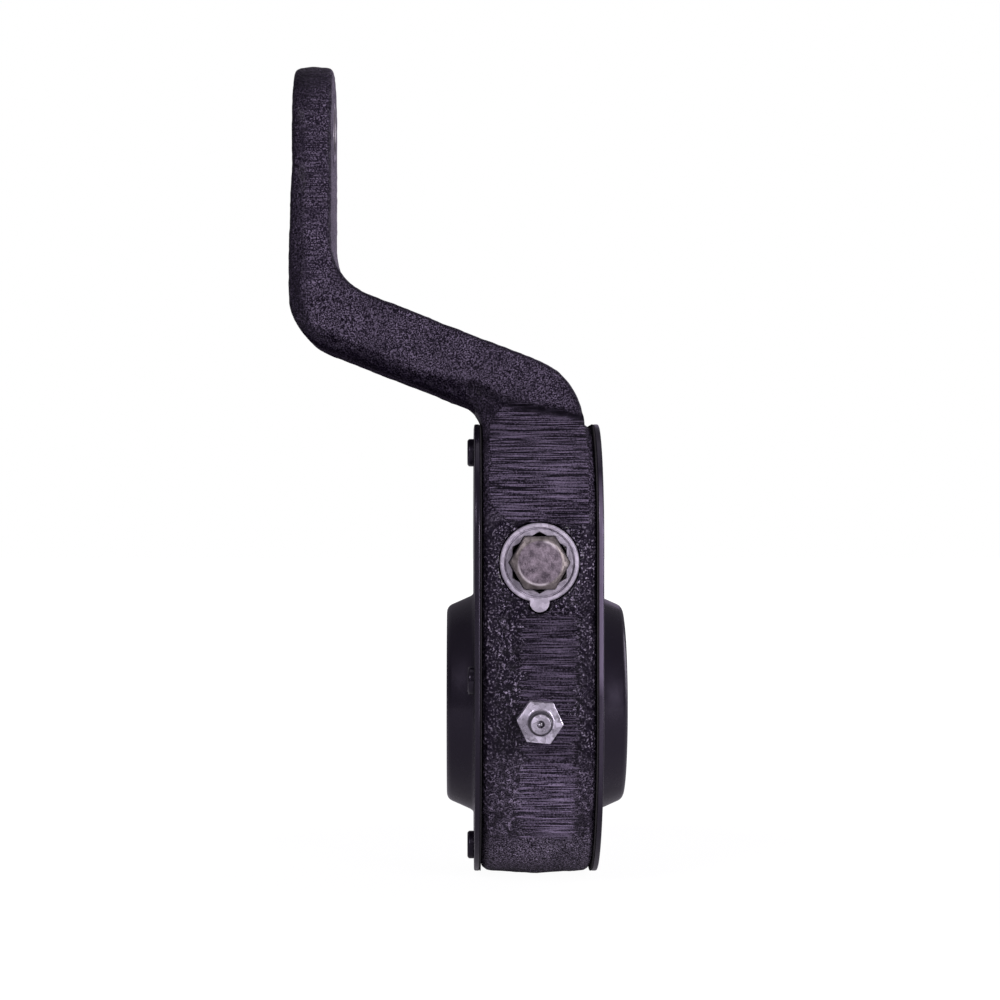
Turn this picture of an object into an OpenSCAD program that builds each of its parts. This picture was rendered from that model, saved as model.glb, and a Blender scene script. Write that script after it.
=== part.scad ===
// Manual brake slack adjuster: a forged, offset lever whose round body houses a worm and a splined
// worm wheel. Turning the hexagon on the worm shaft turns the wheel, and with it the brake camshaft.
// Origin at the middle of the camshaft bore, X along the camshaft, Z up the arm, -Y the adjusting side.

/* [Body] */
// Radius of the round lower body
body_radius = 49.3; // [47:0.1:56]
// Thickness of the body between its machined side faces
body_thickness = 31.4; // [30:0.1:40]
// Height of the shoulder centres above the camshaft
shoulder_height = 47; // [44:0.5:56]
// Radius of the two round shoulders below the arm
shoulder_radius = 34; // [28:0.5:40]
// Height of the forged crown in the middle of the rim
rim_crown = 0.8; // [0.2:0.1:2]
// Rounding between the rim and the side faces
rim_rounding = 2.8; // [1:0.1:4]

/* [Arm] */
// Distance from the camshaft to the clevis eye
arm_length = 165.1; // [152:0.1:190]
// Sideways offset of the clevis eye from the middle of the body
arm_offset = 63.7; // [56:0.1:80]
// Thickness of the arm at the clevis eye
eye_thickness = 11.6; // [10:0.1:16]
// Thickness of the arm above its upper bend
bend_thickness = 12.5; // [10:0.1:16]
// Radius of the round end of the arm
eye_radius = 19.05; // [16:0.05:24]
// Slope of the slanted stretch above horizontal, in degrees
arm_slant = 21.4; // [12:0.2:34]
// Thickness of the slanted stretch
slant_thickness = 19.2; // [16:0.1:24]
// Width of the arm where it meets the body
root_width = 45.6; // [40:0.2:52]
// Drop from the top of the body to where the arm leaves its left side
root_drop = 2.7; // [1:0.1:5]
// Step between the right side of the body and the arm
root_step = 2.4; // [0.5:0.1:4]
// Concave fillet under the slanted stretch
fillet_radius = 8; // [4:0.5:12]
// Convex rounding of the arm's right shoulder
crest_radius = 20; // [12:0.5:24]
// Outer radius of the bend into the upright stretch
outer_bend = 16.5; // [12:0.5:26]
// Inner radius of the bend into the upright stretch
inner_bend = 16; // [8:0.5:24]
// Radius of the flare that spreads the arm into the shoulders
flare_radius = 30; // [24:0.5:40]
// Distance of the forging ridge from the left and lower edge of the arm
ridge_inset = 5; // [4:0.1:6]
// Drop from the ridge to the left and lower edge, at the root of the arm
ridge_drop = 2.4; // [1:0.1:4]
// Drop from the ridge to the left edge at the eye
eye_drop = 0.6; // [0.2:0.1:2]
// Rounding of the arm's edges
edge_rounding = 2; // [1:0.1:3]
// Fall of the arm's front towards its right or upper edge
front_fall = 0.3; // [0:0.1:1]
// Inset of the arm's root from the left side face of the body
seat_inset = 0.4; // [0.1:0.1:1]

/* [Clevis bush] */
// Radius of the clevis pin hole
pin_radius = 6.35; // [5:0.05:7]
// Wall of the bush
bush_wall = 2.2; // [1:0.1:3]
// Chamfer at both ends of the bush
bush_chamfer = 0.6; // [0.2:0.1:1]

/* [Gears] */
// Axial module of the worm and module of the wheel
gear_module = 2.5; // [2.2:0.05:2.7]
// Teeth on the worm wheel
wheel_teeth = 26; // [24:1:28]
// Pressure angle of the teeth, in degrees
pressure_angle = 20; // [14.5:0.5:22]
// Pitch radius of the worm
worm_pitch_radius = 9.1; // [8.8:0.1:11]
// Length of the worm
worm_length = 38; // [32:0.5:42]
// Clearance on each flank of the teeth
flank_clearance = 0.32; // [0.2:0.01:0.6]
// Radius of the worm shaft inside the worm
shaft_radius = 4.4; // [3.8:0.1:4.8]
// Radius of the wheel's hub
hub_radius = 23.5; // [21.5:0.1:25]
// Length of the hub and of the whole adjuster along the camshaft
hub_length = 50.8; // [48:0.1:60]
// Chamfer at both ends of the hub
hub_chamfer = 0.8; // [0.4:0.1:1.5]

/* [Camshaft spline] */
// Teeth of the spline
spline_teeth = 10; // [8:1:12]
// Radius at the bottom of the spline grooves
spline_major_radius = 19.05; // [18:0.05:19.4]
// Radius at the crests between the grooves
spline_minor_radius = 15.43; // [14.5:0.01:16.5]
// Width of each groove
spline_groove = 5.94; // [4:0.02:6.4]

/* [Covers] */
// Sheet thickness of the covers
cover_sheet = 1.6; // [1:0.1:2.5]
// Thickness of the gaskets under the covers
gasket_thickness = 0.3; // [0.2:0.05:1]
// Step from the rim of the body in to the edge of the covers
cover_inset = 0.9; // [0.4:0.1:2]
// Step from the hub out to the foot of the drawn cup
cup_step = 7.7; // [7:0.1:9]
// Slope of the cup's flank off the camshaft axis, in degrees
cup_slope = 24; // [10:1:30]
// Fillet between the cover's flat and the cup
cup_fillet = 1.6; // [0.8:0.1:2.5]
// Rounding of the cup's outer corner
cup_rounding = 2.5; // [1.8:0.1:3]
// Radius of the seal rings' section
seal_section = 1.4; // [1:0.05:1.5]

/* [Rivets] */
// Radius of the rivet shanks
rivet_radius = 2.5; // [2:0.1:3]
// Radius of the rivet heads
rivet_head_radius = 4; // [3.4:0.1:4.6]
// Height of the rivet heads
rivet_head_height = 1.9; // [1:0.1:2.5]
// Bevel around the rivet heads
rivet_bevel = 0.5; // [0.2:0.1:0.8]
// Widening of the countersinks that the rivets close into
rivet_countersink = 1; // [0.5:0.1:1.5]
// Distance of the lower and side rivets from the wheel's bore
rivet_step = 4.8; // [4.5:0.1:5.5]
// Distance of the top rivet from the top of the body
top_rivet_edge = 8.7; // [7:0.1:12]
// Height of the side rivets above the camshaft
side_rivet_height = 9; // [0:0.5:14]

/* [Adjusting end] */
// Width of the adjusting hexagon across its flats
hex_flats = 14.29; // [13:0.01:15]
// Length of the adjusting hexagon
hex_length = 4.3; // [4:0.1:8]
// Bevel on the hexagon's front, in from its flats
hex_bevel = 1.2; // [0.5:0.1:2]
// Outer radius of the lock sleeve
sleeve_radius = 10.8; // [10:0.1:11.5]
// Length of the lock sleeve
sleeve_length = 12; // [10.5:0.1:13]
// Inward travel of the lock sleeve
sleeve_travel = 6; // [4:0.1:7]
// Setback of the lock sleeve from the front of the body
sleeve_setback = 0.2; // [0:0.1:1]
// Depth of the lock sleeve's recess in front of its twelve-point lands
sleeve_recess = 0.8; // [0.6:0.1:3]
// Length of the twelve-point lands
land_length = 4; // [3:0.1:5]
// Chamfer around the front of the lock sleeve
sleeve_chamfer = 0.4; // [0.2:0.1:0.8]
// Width of the lock sleeve's front annulus
sleeve_rim = 1.2; // [1:0.1:2]
// Width and depth of the groove around the lands
sleeve_groove = 0.4; // [0.3:0.1:0.8]
// Wall of the sleeve's skirt around the lock spring
skirt_wall = 1.6; // [1.2:0.1:2]
// Radius of the half-round key on the sleeve
key_radius = 2.7; // [2:0.1:3]
// Length of the key
key_length = 8; // [5:0.1:9]
// Thickness of the body wall that carries the front of the shaft
wall_thickness = 6.4; // [4:0.1:8]
// Wire thickness of the lock spring
lock_wire = 1.1; // [0.8:0.05:1.2]
// Turns of the lock spring
lock_turns = 6; // [5:0.5:8]
// Thickness of the thrust washers
washer_thickness = 1.5; // [1:0.1:2.5]
// Length of the rear bearing bush
bearing_length = 11.4; // [8:0.1:13]
// Length of shaft that shows behind the rear bearing
shaft_tail = 1; // [0.5:0.1:3]
// Sheet thickness of the end plug
plug_sheet = 1.6; // [1:0.1:2.5]
// Depth of the end plug
plug_depth = 5; // [4:0.1:6]
// Chamfer around the floor of the end plug
plug_chamfer = 1; // [0.5:0.1:1.5]
// Setback of the end plug from the rear of the body
plug_setback = 1.2; // [0.5:0.1:3]

/* [Grease nipple] */
// Height of the nipple above the camshaft
nipple_height = -1.3; // [-6:0.1:6]
// Width of the nipple's hexagon across its flats
nipple_flats = 11; // [10:0.1:13]
// Height of the nipple's hexagon
nipple_hex_height = 5.5; // [4:0.1:7]
// Overall height of the nipple above the body
nipple_length = 11.7; // [10.5:0.1:14]
// Radius of the nipple's head
nipple_head_radius = 3.25; // [3:0.05:3.6]
// Radius of the nipple's neck
nipple_neck_radius = 2.5; // [2.2:0.05:2.7]
// Length of the nipple's head
nipple_head_length = 3.6; // [3:0.1:4.5]
// Length of each bevel on the nipple's head and neck
nipple_bevel = 1.2; // [0.8:0.1:1.5]
// Chamfer on the end of the nipple's shank
shank_chamfer = 0.7; // [0.3:0.1:1]
// Turn of the nipple's hexagon about its axis, in degrees
nipple_turn = 5; // [0:1:30]
// Radius of the nipple's screwed shank
nipple_shank_radius = 4.8; // [4.2:0.1:5]
// Length of the nipple's screwed shank
nipple_shank_length = 8; // [6:0.1:10]
// Radius of the check ball
ball_radius = 1.25; // [1.15:0.05:1.35]
// Depth of the check ball's seat behind the nipple's tip
ball_depth = 1.9; // [1.5:0.1:2.5]
// Overlap of the seat over the ball, on a radius
ball_lip = 0.25; // [0.2:0.01:0.4]
// Clearance of the ball in its channel
ball_fit = 0.2; // [0.1:0.05:0.3]
// Wire thickness of the check spring
check_wire = 0.3; // [0.25:0.01:0.4]
// Turns of the check spring
check_turns = 7; // [5:0.5:9]

/* [Fits] */
// Running clearance on a radius
running_fit = 0.05; // [0.02:0.01:0.1]
// Clearance on a radius of what is pressed, screwed or riveted in
seated_fit = 0.02; // [0.01:0.01:0.05]
// Clearance of the lock sleeve in its bore
sleeve_fit = 0.12; // [0.05:0.01:0.2]
// Clearance between faces that move past each other
face_gap = 0.3; // [0.2:0.05:0.5]
// Clearance of the hexagon in the twelve-point lands, on each flat
hex_fit = 0.15; // [0.1:0.01:0.3]
// Clearance around the gears in their bores
gear_fit = 1.5; // [1:0.1:2]

/* [Hidden] */
$fn = 64;
overlap = 1;

// Body outline
half_body = body_thickness / 2;
shoulder_y = body_radius - shoulder_radius;
body_top = shoulder_height + shoulder_radius;

// Gear train
wheel_pitch_radius = gear_module * wheel_teeth / 2;
wheel_tip_radius = wheel_pitch_radius + gear_module;
wheel_root_radius = wheel_pitch_radius - 1.25 * gear_module;
wheel_base_radius = wheel_pitch_radius * cos(pressure_angle);
worm_tip_radius = worm_pitch_radius + gear_module;
worm_root_radius = worm_pitch_radius - 1.16 * gear_module;
tooth_sink = 0.16 * gear_module;
worm_lead = PI * gear_module;
lead_angle = atan(worm_lead / (2 * PI * worm_pitch_radius));
worm_height = wheel_pitch_radius + worm_pitch_radius;
gear_bore_radius = wheel_tip_radius + gear_fit;
worm_bore_radius = worm_tip_radius + face_gap + 2 * running_fit;

// Stack along the worm shaft, from the middle of the worm outwards
worm_end = worm_length / 2;
worm_seat = worm_end + washer_thickness + 2 * running_fit;
lock_bore_depth = worm_seat + wall_thickness;
lock_bore_radius = sleeve_radius + sleeve_fit;
sleeve_front = body_radius - sleeve_setback;
land_front = sleeve_front - sleeve_recess;
land_back = land_front - land_length;
hex_back = land_front + face_gap;
collar_radius = hex_flats / 2 - hex_fit;
land_flats = hex_flats + 2 * hex_fit;
skirt_radius = sleeve_radius - skirt_wall;
lock_coil_radius = (collar_radius + skirt_radius + 2 * hex_fit) / 2;

// Covers, seals and rivets
cover_inner = half_body + gasket_thickness;
cover_outer = cover_inner + cover_sheet;
cup_face = hub_length / 2;
cup_radius = hub_radius + cup_step;
rivet_circle = gear_bore_radius + rivet_step;
rivet_places = [
    [0, body_top - top_rivet_edge],
    [0, -rivet_circle],
    [sqrt(pow(rivet_circle, 2) - pow(side_rivet_height, 2)), side_rivet_height],
    [-sqrt(pow(rivet_circle, 2) - pow(side_rivet_height, 2)), side_rivet_height]];
seal_radius = hub_radius + seal_section + 2 * running_fit;
seal_x = cup_face - cup_rounding - seal_section - 2 * running_fit;

// Arm outline in the XZ plane: two edges that run from the body up to the eye
slant_normal = [sin(arm_slant), cos(arm_slant)];
slant_run = [-cos(arm_slant), sin(arm_slant)];
slant_turn = 90 - arm_slant;
eye_left = -arm_offset - eye_thickness / 2;
arm_right = -arm_offset + eye_thickness / 2;
arm_left = arm_right - bend_thickness;
root_sink = 7;
eye_wall = 3;
root_left = seat_inset - half_body;
root_right = half_body - root_step;
root_low = body_top - root_sink;
root_height = body_top - root_drop;
eye_low = arm_length - pin_radius - bush_wall - eye_wall;
flare_top = root_low + 0.8 * flare_radius;
fillet_centre = [root_left - fillet_radius, root_height];
foot_low = fillet_centre + fillet_radius * slant_normal;
foot_high = foot_low + slant_thickness * slant_normal;
outer_run = (foot_low.x - arm_left - outer_bend * (1 - sin(arm_slant))) / cos(arm_slant);
outer_centre = foot_low + outer_run * slant_run + outer_bend * slant_normal;
inner_run = (foot_high.x - arm_right - inner_bend * (1 - sin(arm_slant))) / cos(arm_slant);
inner_centre = foot_high + inner_run * slant_run + inner_bend * slant_normal;
crest_run = (root_right - crest_radius * (1 - sin(arm_slant)) - foot_high.x) / cos(arm_slant);
crest_start = foot_high - crest_run * slant_run;
crest_centre = crest_start - crest_radius * slant_normal;
arc_steps = 8;
straight_steps = 2;
bend_steps = arc_steps + straight_steps;

// Points of an arc, from one angle to another in equal steps
function arc(centre, radius, from, to, steps) =
    [for (i = [0:steps]) let (a = from + (to - from) * i / steps) centre + radius * [cos(a), sin(a)]];

// Points between two ends, leaving out the first
function straight(from, to, steps) = [for (i = [1:steps]) from + (to - from) * i / steps];

function reversed(points) = [for (i = [len(points) - 1:-1:0]) points[i]];

left_edge = concat(
    [[root_left, root_low]],
    arc(fillet_centre, fillet_radius, 0, slant_turn, bend_steps),
    arc(outer_centre, outer_bend, 180 + slant_turn, 180, arc_steps),
    straight([arm_left, outer_centre.y], [arm_left, inner_centre.y], straight_steps),
    [[eye_left, eye_low]]);
right_edge = concat(
    [[root_right, root_low]],
    arc(crest_centre, crest_radius, 0, slant_turn, arc_steps),
    straight(crest_start, foot_high, straight_steps),
    arc(inner_centre, inner_bend, 180 + slant_turn, 180, bend_steps),
    [[arm_right, eye_low]]);

// How far up the arm a height is, from 0 at the flare to 1 at the eye
function arm_share(z) = min(1, max(0, (z - flare_top) / (eye_low - flare_top)));

// Half width of the arm at a height: it tapers to the eye and flares into the shoulders
function arm_half(z) =
    let (fall = max(0, flare_top - z))
    root_width / 2 + (eye_radius - root_width / 2) * arm_share(z)
        + flare_radius - sqrt(pow(flare_radius, 2) - pow(fall, 2));

// Drop of the arm's left or lower edge at a height
function arm_drop(z) = ridge_drop + (eye_drop - ridge_drop) * arm_share(z);

// One half of the arm's forged section, from its left or lower edge over the ridge to the other edge
function half_section(thick, half, drop) =
    let (lean = atan(drop / (ridge_inset - edge_rounding)))
    concat(arc([edge_rounding, half - drop - edge_rounding], edge_rounding, 180, 90 + lean, 3),
        [[ridge_inset, half]],
        arc([thick - edge_rounding, half - edge_rounding - front_fall], edge_rounding, 90, 0, 3));

// The whole section, mirrored about the arm's middle plane
function arm_section(thick, half, drop) = let (front = half_section(thick, half, drop))
    concat(front, [for (p = reversed(front)) [p.x, -p.y]]);

// The section set across the arm between a point on each edge
function arm_ring(low, high) =
    let (thick = norm(high - low), across = (high - low) / thick, z = (low.y + high.y) / 2)
    [for (p = reversed(arm_section(thick, arm_half(z), arm_drop(z))))
        [low.x + across.x * p.x, p.y, low.y + across.y * p.x]];

// Turns what is drawn in a plane to stand across X, with the plane's axes along Y and Z
module across_x() rotate([90, 0, 90]) children();

// Turns what is drawn about Z to run along Y at a height
module along_y(height) translate([0, 0, height]) rotate([-90, 0, 0]) children();

// A pin along Y between two places
module pin_y(radius, from, to, height)
    translate([0, from, 0]) along_y(height) cylinder(r = radius, h = to - from);

// A solid skin over rings of points, with flat ends
module loft(rings) {
    n = len(rings[0]);
    last = len(rings) - 1;
    sides = [for (i = [0:last - 1], j = [0:n - 1], corner = [0, 1])
        let (a = i * n + j, b = i * n + (j + 1) % n)
        corner == 0 ? [a, a + n, b] : [b, a + n, b + n]];
    low_end = [for (j = [0:n - 1]) j];
    high_end = [for (j = [n - 1:-1:0]) last * n + j];
    polyhedron([for (ring = rings) each ring], concat(sides, [low_end, high_end]));
}

// Round wire wound into a compression spring along Z, with a closed turn at each end
module coil(radius, wire, length, turns, steps, sides) {
    rise = length - 3 * wire;
    count = floor(turns * steps);
    loft([for (i = [0:count])
        let (turn = i / steps, open = min(1, max(0, (turn - 1) / (turns - 2))))
        let (closed = min(1, turn) + min(1, max(0, turn - turns + 1)))
        let (z = wire / 2 + wire * closed + rise * open)
        [for (j = [0:sides - 1])
            let (a = -360 * j / sides, r = radius + wire / 2 * cos(a))
            [r * cos(360 * turn), r * sin(360 * turn), z + wire / 2 * sin(a)]]]);
}

// Outline of the rim from one side face over the crown to the other, as radius and place along X
function rim_points(radius) =
    let (edge = radius - rim_crown)
    let (corner = arc([edge - rim_rounding, half_body - rim_rounding], rim_rounding, 0, 90, 4))
    concat([for (p = reversed(corner)) [p.x, p.y]], [[radius, 0]], [for (p = corner) [p.x, -p.y]]);

module rim_turn(radius, angle)
    rotate_extrude(angle = angle)
        polygon(concat([[0, half_body]], rim_points(radius), [[0, -half_body]]));

// The round body with straight sides and two round shoulders, all with the same crowned rim
module housing() {
    across_x() rotate(180) rim_turn(body_radius, 180);
    linear_extrude(shoulder_height)
        polygon(concat([for (p = rim_points(body_radius)) [p.y, p.x]],
            [for (p = reversed(rim_points(body_radius))) [p.y, -p.x]]));
    for (side = [0, 1])
        translate([0, (1 - 2 * side) * shoulder_y, shoulder_height])
            across_x() rotate(90 * side) rim_turn(shoulder_radius, 90);
    translate([0, shoulder_y, shoulder_height])
        rotate([90, 0, 0])
            linear_extrude(2 * shoulder_y)
                polygon(concat([[half_body, 0]], [for (p = rim_points(shoulder_radius)) [p.y, p.x]],
                    [[-half_body, 0]]));
}

// The offset arm: a forged section carried round two bends, ending in a round eye
module arm() {
    loft([for (i = [0:len(left_edge) - 1]) arm_ring(left_edge[i], right_edge[i])]);
    translate([eye_left, 0, eye_low])
        linear_extrude(arm_length - eye_low) polygon(arm_section(eye_thickness, eye_radius, eye_drop));
    front = half_section(eye_thickness, eye_radius, eye_drop);
    translate([eye_left, 0, arm_length])
        across_x()
            rotate_extrude(angle = 180)
                polygon(concat([[0, 0]], [for (p = front) [p.y, p.x]], [[0, eye_thickness]]));
}

module eye_bore()
    translate([eye_left - overlap, 0, arm_length])
        across_x() cylinder(r = pin_radius + bush_wall + seated_fit, h = eye_thickness + 2 * overlap);

module body() {
    color("#211f26")
    difference() {
        union() {
            housing();
            arm();
        }
        eye_bore();
        across_x() cylinder(r = gear_bore_radius, h = body_thickness + 2 * overlap, center = true);
        pin_y(worm_bore_radius, -worm_seat, body_radius + overlap, worm_height);
        pin_y(collar_radius + running_fit, -lock_bore_depth - overlap, -worm_seat + overlap, worm_height);
        pin_y(lock_bore_radius, -body_radius - overlap, -lock_bore_depth, worm_height);
        pin_y(key_radius + sleeve_fit, -body_radius - overlap,
            -sleeve_front + key_length + sleeve_travel + face_gap, worm_height - sleeve_radius);
        pin_y(nipple_shank_radius + seated_fit, -body_radius - overlap, -gear_bore_radius / 2,
            nipple_height);
        rivet_holes(body_thickness);
    }
}

module rivet_holes(depth)
    for (place = rivet_places)
        translate([0, place.x, place.y])
            across_x() cylinder(r = rivet_radius + seated_fit, h = depth + 2 * overlap, center = true);

module clevis_bush()
    color("#8d8c88")
    translate([eye_left, 0, arm_length])
        across_x()
            rotate_extrude()
                polygon([[pin_radius, bush_chamfer], [pin_radius + bush_chamfer, 0],
                    [pin_radius + bush_wall, 0], [pin_radius + bush_wall, eye_thickness],
                    [pin_radius + bush_chamfer, eye_thickness],
                    [pin_radius, eye_thickness - bush_chamfer]]);

// Flat outline shared by the covers and gaskets, set in from the rim of the body
module cover_outline() {
    shoulder = shoulder_radius - cover_inset;
    circle(r = body_radius - cover_inset, $fn = 96);
    translate([-body_radius + cover_inset, 0]) square([2 * (body_radius - cover_inset), shoulder_height]);
    for (side = [-1, 1])
        translate([side * shoulder_y, shoulder_height]) circle(r = shoulder);
    translate([-shoulder_y, 0]) square([2 * shoulder_y, shoulder_height + shoulder]);
}

// Pressed cover for the right side: a flat plate with a drawn cup around the hub
module cover() {
    flank = tan(cup_slope);
    lip = hub_radius + running_fit;
    corner_x = cup_face - cup_rounding;
    corner_r = cup_radius - (corner_x + cup_rounding * sin(cup_slope) - cover_outer) * flank
        - cup_rounding * cos(cup_slope);
    base_in = cup_radius - cover_sheet / cos(cup_slope);
    turn = 90 - cup_slope;
    fillet_r = cup_radius + cup_fillet * tan(turn / 2);
    join = fillet_r + 1;
    foot = arc([fillet_r, cover_outer + cup_fillet], cup_fillet, 270, 270 - turn, 3);
    outer_corner = arc([corner_r, corner_x], cup_rounding, cup_slope, 90, 4);
    inner_corner = arc([corner_r, corner_x], cup_rounding - cover_sheet, 90, cup_slope, 2);
    translate([cover_inner, 0, 0])
        across_x()
            linear_extrude(cover_sheet)
                difference() {
                    cover_outline();
                    circle(r = join);
                }
    across_x()
        rotate_extrude()
            polygon(concat([[join, cover_inner], [join, cover_outer]], foot,
                outer_corner, [[lip, cup_face], [lip, cup_face - cover_sheet]], inner_corner,
                [[base_in, cover_outer], [base_in + (cover_inner - cover_outer) * -flank, cover_inner]]));
}

module left_cover()
    color("#17161b")
    mirror([1, 0, 0])
        difference() {
            cover();
            translate([cover_inner, 0, 0]) rivet_holes(2 * cover_sheet);
        }

module right_cover()
    color("#17161b")
    difference() {
        cover();
        translate([cover_inner, 0, 0]) rivet_holes(2 * cover_sheet);
        for (place = rivet_places)
            translate([cover_inner, place.x, place.y])
                across_x() cylinder(r1 = rivet_radius + seated_fit, h = cover_sheet,
                    r2 = rivet_radius + seated_fit + rivet_countersink);
    }

module gasket()
    color("#5b5346")
    difference() {
        across_x() linear_extrude(gasket_thickness) difference() {
            cover_outline();
            circle(r = gear_bore_radius + face_gap);
        }
        rivet_holes(gasket_thickness);
    }

module left_gasket() translate([-cover_inner, 0, 0]) gasket();

module right_gasket() translate([half_body, 0, 0]) gasket();

// Headed on the left cover, closed flush in the countersinks of the right cover
module rivets()
    color("#17161b")
    for (place = rivet_places)
        translate([0, place.x, place.y])
            across_x()
                rotate_extrude()
                    polygon([[0, -cover_outer - rivet_head_height],
                        [rivet_head_radius - rivet_bevel, -cover_outer - rivet_head_height],
                        [rivet_head_radius, -cover_outer - rivet_head_height + rivet_bevel],
                        [rivet_head_radius, -cover_outer], [rivet_radius, -cover_outer],
                        [rivet_radius, cover_inner], [rivet_radius + rivet_countersink, cover_outer],
                        [0, cover_outer]]);

module seal()
    color("#141414")
    across_x() rotate_extrude() translate([seal_radius, 0]) circle(r = seal_section, $fn = 24);

module left_seal() translate([-seal_x, 0, 0]) seal();

module right_seal() translate([seal_x, 0, 0]) seal();

// Involute angle between the pitch point and a radius
function involute(radius) =
    let (pressure = acos(min(1, wheel_base_radius / radius))) tan(pressure) * 180 / PI - pressure;

// Half of the angle that a tooth of the wheel takes up at a radius
function tooth_angle(radius) =
    90 / wheel_teeth - flank_clearance / 2 / wheel_pitch_radius * 180 / PI
        + involute(wheel_pitch_radius) - involute(max(radius, wheel_base_radius));

module wheel_tooth() {
    radii = concat([wheel_root_radius - tooth_sink],
        [for (i = [0:4]) wheel_base_radius + (wheel_tip_radius - wheel_base_radius) * i / 4]);
    flank = [for (r = radii) r * [sin(tooth_angle(r)), cos(tooth_angle(r))]];
    rotate([0, 0, -lead_angle])
        across_x()
            linear_extrude(body_thickness - 2 * face_gap, center = true)
                polygon(concat(flank, [for (p = reversed(flank)) [-p.x, p.y]]));
}

module spline_bore(length) {
    across_x() cylinder(r = spline_minor_radius, h = length, center = true);
    intersection() {
        across_x() cylinder(r = spline_major_radius, h = length, center = true);
        for (i = [0:spline_teeth - 1])
            rotate([360 * i / spline_teeth, 0, 0])
                translate([-length / 2, -spline_groove / 2, 0])
                    cube([length, spline_groove, spline_major_radius + overlap]);
    }
}

module worm_wheel() {
    end = hub_length / 2;
    rim = half_body - running_fit;
    color("#77716a")
    difference() {
        union() {
            across_x()
                rotate_extrude()
                    polygon([[0, -end], [hub_radius - hub_chamfer, -end], [hub_radius, hub_chamfer - end],
                        [hub_radius, -rim], [wheel_root_radius, -rim], [wheel_root_radius, rim],
                        [hub_radius, rim], [hub_radius, end - hub_chamfer],
                        [hub_radius - hub_chamfer, end], [0, end]]);
            for (i = [0:wheel_teeth - 1])
                rotate([360 * i / wheel_teeth, 0, 0]) wheel_tooth();
        }
        spline_bore(hub_length + 2 * overlap);
    }
}

// One ridge of trapezoid section wound round the core in a right-handed helix
module worm_thread() {
    steps = 24;
    root = worm_root_radius - tooth_sink;
    tip_half = worm_lead / 4 - flank_clearance / 2 - gear_module * tan(pressure_angle);
    root_half = tip_half + (worm_tip_radius - root) * tan(pressure_angle);
    turns = (worm_length - 2 * root_half) / worm_lead;
    count = floor(turns * steps / 2);
    loft([for (i = [-count:count])
        let (angle = 360 * i / steps, y = worm_lead * i / steps)
        [for (p = [[root, root_half], [worm_tip_radius, tip_half], [worm_tip_radius, -tip_half],
            [root, -root_half]])
            [p.x * sin(angle), y + p.y, worm_height + p.x * cos(angle)]]]);
}

module worm()
    color("#6d6a66")
    difference() {
        union() {
            pin_y(worm_root_radius, -worm_end, worm_end, worm_height);
            worm_thread();
        }
        pin_y(shaft_radius + seated_fit, -worm_end - overlap, worm_end + overlap, worm_height);
    }

// Shaft with the adjusting hexagon at the front, a collar in the wall and a journal at the rear
module worm_shaft() {
    front = hex_back + hex_length;
    corner = hex_flats / 2 / cos(30);
    bevel = corner - hex_flats / 2 + hex_bevel;
    rear = worm_seat + bearing_length + shaft_tail;
    color("#a59c8c")
    union() {
        intersection() {
            translate([0, -front, 0])
                along_y(worm_height) cylinder(r = corner, h = hex_length, $fn = 6);
            translate([0, -front, 0])
                along_y(worm_height)
                    rotate_extrude()
                        polygon([[0, 0], [corner - bevel, 0], [corner, bevel / 2],
                            [corner, hex_length], [0, hex_length]]);
        }
        pin_y(collar_radius, -hex_back, -worm_seat - 2 * running_fit, worm_height);
        pin_y(shaft_radius, -hex_back, rear, worm_height);
    }
}

module washer(from)
    color("#8c7a4d")
    difference() {
        pin_y(worm_bore_radius - face_gap, from, from + washer_thickness, worm_height);
        pin_y(shaft_radius + running_fit, from - overlap, from + washer_thickness + overlap, worm_height);
    }

module front_thrust_washer() washer(-worm_end - running_fit - washer_thickness);

module rear_thrust_washer() washer(worm_end + running_fit);

// Plain bush, pressed in behind the worm, that carries the rear journal
module rear_bearing()
    color("#9a7b45")
    difference() {
        pin_y(worm_bore_radius - seated_fit, worm_seat, worm_seat + bearing_length, worm_height);
        pin_y(shaft_radius + running_fit, worm_seat - overlap, worm_seat + bearing_length + overlap,
            worm_height);
    }

// Pressed cup that closes the rear of the worm bore
module end_plug() {
    back = body_radius - plug_setback;
    radius = worm_bore_radius - seated_fit;
    color("#2a282d")
    translate([0, back - plug_depth, 0])
        along_y(worm_height)
            rotate_extrude()
                polygon([[0, 0], [radius - plug_chamfer, 0], [radius, plug_chamfer],
                    [radius, plug_depth], [radius - plug_sheet, plug_depth],
                    [radius - plug_sheet, plug_sheet], [0, plug_sheet]]);
}

// Ring with a twelve-point hole behind the hexagon, kept from turning by a half-round key
module lock_sleeve() {
    groove_out = sleeve_radius - sleeve_rim;
    groove_in = groove_out - sleeve_groove;
    color("#c9cbcc")
    difference() {
        union() {
            translate([0, -sleeve_front, 0])
                along_y(worm_height)
                    rotate_extrude()
                        polygon([[0, 0], [sleeve_radius - sleeve_chamfer, 0],
                            [sleeve_radius, sleeve_chamfer],
                            [sleeve_radius, sleeve_length], [0, sleeve_length]]);
            pin_y(key_radius, -sleeve_front, -sleeve_front + key_length, worm_height - sleeve_radius);
        }
        pin_y(groove_out, -sleeve_front - overlap, -land_front, worm_height);
        difference() {
            pin_y(groove_out, -sleeve_front - overlap, -land_front + sleeve_groove, worm_height);
            pin_y(groove_in, -sleeve_front - 2 * overlap, -land_front + 2 * overlap, worm_height);
        }
        for (angle = [0, 30])
            translate([0, -sleeve_front - overlap, 0])
                along_y(worm_height)
                    rotate(angle) cylinder(r = land_flats / 2 / cos(30), h = sleeve_length, $fn = 6);
        pin_y(skirt_radius, -land_back, -sleeve_front + sleeve_length + overlap, worm_height);
    }
}

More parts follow.
